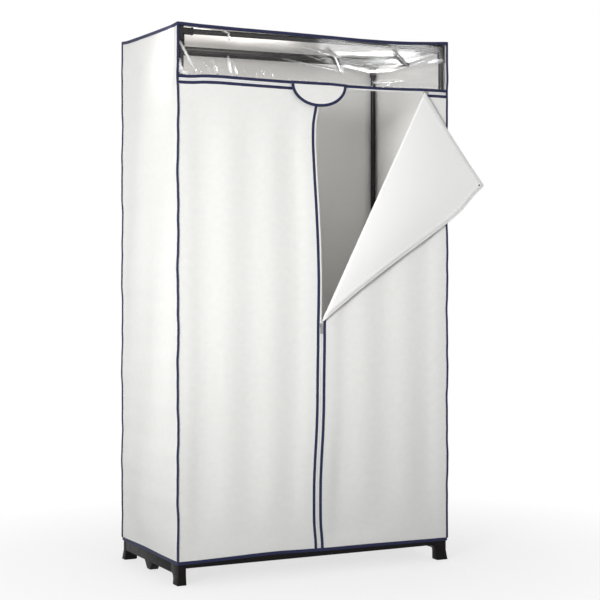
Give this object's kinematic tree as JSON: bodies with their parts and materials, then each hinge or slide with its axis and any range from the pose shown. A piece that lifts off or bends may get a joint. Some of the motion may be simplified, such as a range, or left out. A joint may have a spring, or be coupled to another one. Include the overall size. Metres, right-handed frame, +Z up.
{
  "type": "portable wardrobe",
  "caption": "Portable clothes wardrobe: white cloth cover with navy binding on a tube frame, zipped front with a corner folded back, clear window above, moulded feet",
  "frame": {"origin": "middle of the underside of the bounding box of the whole wardrobe as pictured, with the door's corner folded back past the right side, on the floor", "axes": "+Z up, +X to the right as seen from the front, +Y from the front to the back"},
  "size_m": [1.0136, 0.4934, 1.6],
  "materials": {
    "cloth": "white non-woven cloth, matt",
    "navy_tape": "navy binding tape, matt",
    "zip_tape": "white zip tape with white coil",
    "clear_film": "clear film, glossy",
    "black_plastic": "moulded black plastic, satin",
    "dark_tube": "dark grey painted steel tube, satin",
    "zip_metal": "bright zip metal"
  },
  "bodies": {
    "wardrobe": {"foot_front_left": "black_plastic", "foot_front_right": "black_plastic", "foot_back_right": "black_plastic", "foot_back_left": "black_plastic", "base_rail_front": "black_plastic", "base_rail_right": "black_plastic", "base_rail_back": "black_plastic", "base_rail_left": "black_plastic", "rail_stay_left": "black_plastic", "rail_stay_right": "black_plastic", "post_front_left": "dark_tube", "post_front_right": "dark_tube", "post_back_right": "dark_tube", "post_back_left": "dark_tube", "corner_connector_front_left": "black_plastic", "corner_connector_front_right": "black_plastic", "corner_connector_back_right": "black_plastic", "corner_connector_back_left": "black_plastic", "top_tube_front": "dark_tube", "top_tube_right": "dark_tube", "top_tube_back": "dark_tube", "top_tube_left": "dark_tube", "hanging_rail": "dark_tube", "rail_bracket_left": "black_plastic", "rail_bracket_right": "black_plastic", "cover_side_left": "cloth", "cover_side_right": "cloth", "cover_back": "cloth", "cover_roof": "cloth", "door_left": "cloth", "door_right": "cloth", "crease_roll": "cloth", "window_film": "clear_film", "top_piping": "navy_tape", "hem_band": "navy_tape", "corner_piping_front_left": "navy_tape", "corner_piping_front_right": "navy_tape", "corner_piping_back_right": "navy_tape", "corner_piping_back_left": "navy_tape", "sill_binding": "navy_tape", "door_binding_left": "navy_tape", "door_binding_right_side": "navy_tape", "door_binding_right_top": "navy_tape", "zip_tape_left_side": "zip_tape", "zip_tape_right_side": "zip_tape", "zip_tape_sill": "zip_tape", "zip_tape_top_left": "zip_tape", "zip_tape_top_right": "zip_tape"},
    "folded_corner": {"door_flap": "cloth", "door_flap_binding": "navy_tape", "zip_tape_flap": "zip_tape"},
    "storm_flap": {"storm_flap": "cloth", "storm_flap_binding": "navy_tape"},
    "slider_front": {"zip_slider_front": "zip_metal"},
    "pull_front": {"zip_pull_front": "zip_metal"},
    "slider_top_right": {"zip_slider_top_right": "zip_metal"},
    "pull_top_right": {"zip_pull_top_right": "zip_metal"},
    "slider_top_left": {"zip_slider_top_left": "zip_metal"},
    "pull_top_left": {"zip_pull_top_left": "zip_metal"}
  },
  "joints": [
    {"name": "corner_fold", "type": "hinge", "parent": "wardrobe", "child": "folded_corner", "pos_m": [-0.05382, -0.2413, 0.737], "axis": [-0.4477, 0, -0.8942], "range_deg": [0, 180]},
    {"name": "storm_flap_lift", "type": "hinge", "parent": "wardrobe", "child": "storm_flap", "pos_m": [-0.06282, -0.2466, 1.4425], "axis": [-1, 0, 0], "range_deg": [0, 150]},
    {"name": "front_zip", "type": "slide", "parent": "wardrobe", "child": "slider_front", "axis": [0, 0, 1], "range_m": [-0.6447, 0.696]},
    {"name": "front_pull_swing", "type": "hinge", "parent": "slider_front", "child": "pull_front", "pos_m": [-0.05382, -0.2409, 0.729], "axis": [0, 1, 0], "range_deg": [-90, 90]},
    {"name": "top_right_zip", "type": "slide", "parent": "wardrobe", "child": "slider_top_right", "axis": [-1, 0, 0], "range_m": [-0.0457, 0.329]},
    {"name": "top_right_pull_swing", "type": "hinge", "parent": "slider_top_right", "child": "pull_top_right", "pos_m": [0.30318, -0.2409, 1.43825], "axis": [0, 1, 0], "range_deg": [-90, 90]},
    {"name": "top_left_zip", "type": "slide", "parent": "wardrobe", "child": "slider_top_left", "axis": [1, 0, 0], "range_m": [-0.3927, 0]},
    {"name": "top_left_pull_swing", "type": "hinge", "parent": "slider_top_left", "child": "pull_top_left", "pos_m": [-0.08182, -0.2409, 1.43825], "axis": [0, 1, 0], "range_deg": [-90, 90]}
  ]
}
